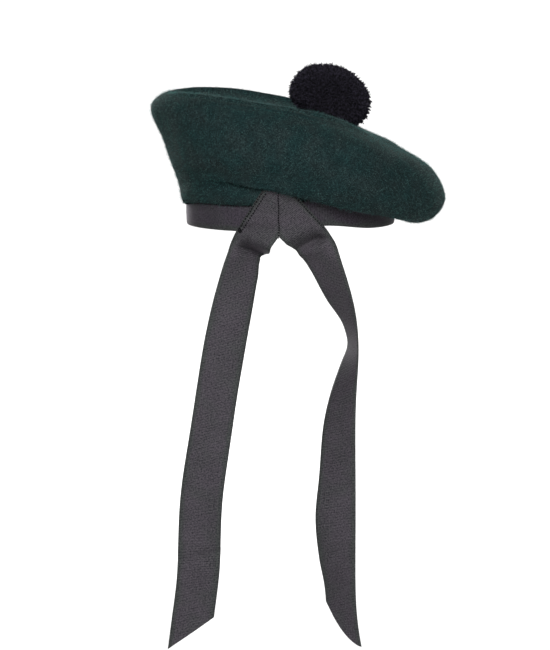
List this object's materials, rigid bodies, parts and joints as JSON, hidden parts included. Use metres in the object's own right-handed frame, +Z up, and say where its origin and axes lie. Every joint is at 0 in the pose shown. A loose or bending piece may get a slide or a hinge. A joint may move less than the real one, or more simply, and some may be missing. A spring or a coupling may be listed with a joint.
{
  "type": "balmoral bonnet",
  "caption": "Felted wool balmoral with a crown pulled to one side, a wool pompom, a ribbon headband and ribbon tails at the back.",
  "frame": {"origin": "centre of the head opening, at the height of the headband's lower edge, where the wearer's head holds the bonnet", "axes": "+Z up, +Y the wearer's front, +X the wearer's right"},
  "size_m": [0.2351, 0.2487, 0.4523],
  "materials": {
    "felt": "dark bottle-green felted wool",
    "band_ribbon": "black grosgrain",
    "tail_ribbon": "black grosgrain",
    "yarn": "black cut wool yarn"
  },
  "bodies": {
    "root": {"crown": "felt", "headband": "band_ribbon", "left_tail": "tail_ribbon", "right_tail": "tail_ribbon", "toorie": "yarn"}
  },
  "joints": []
}
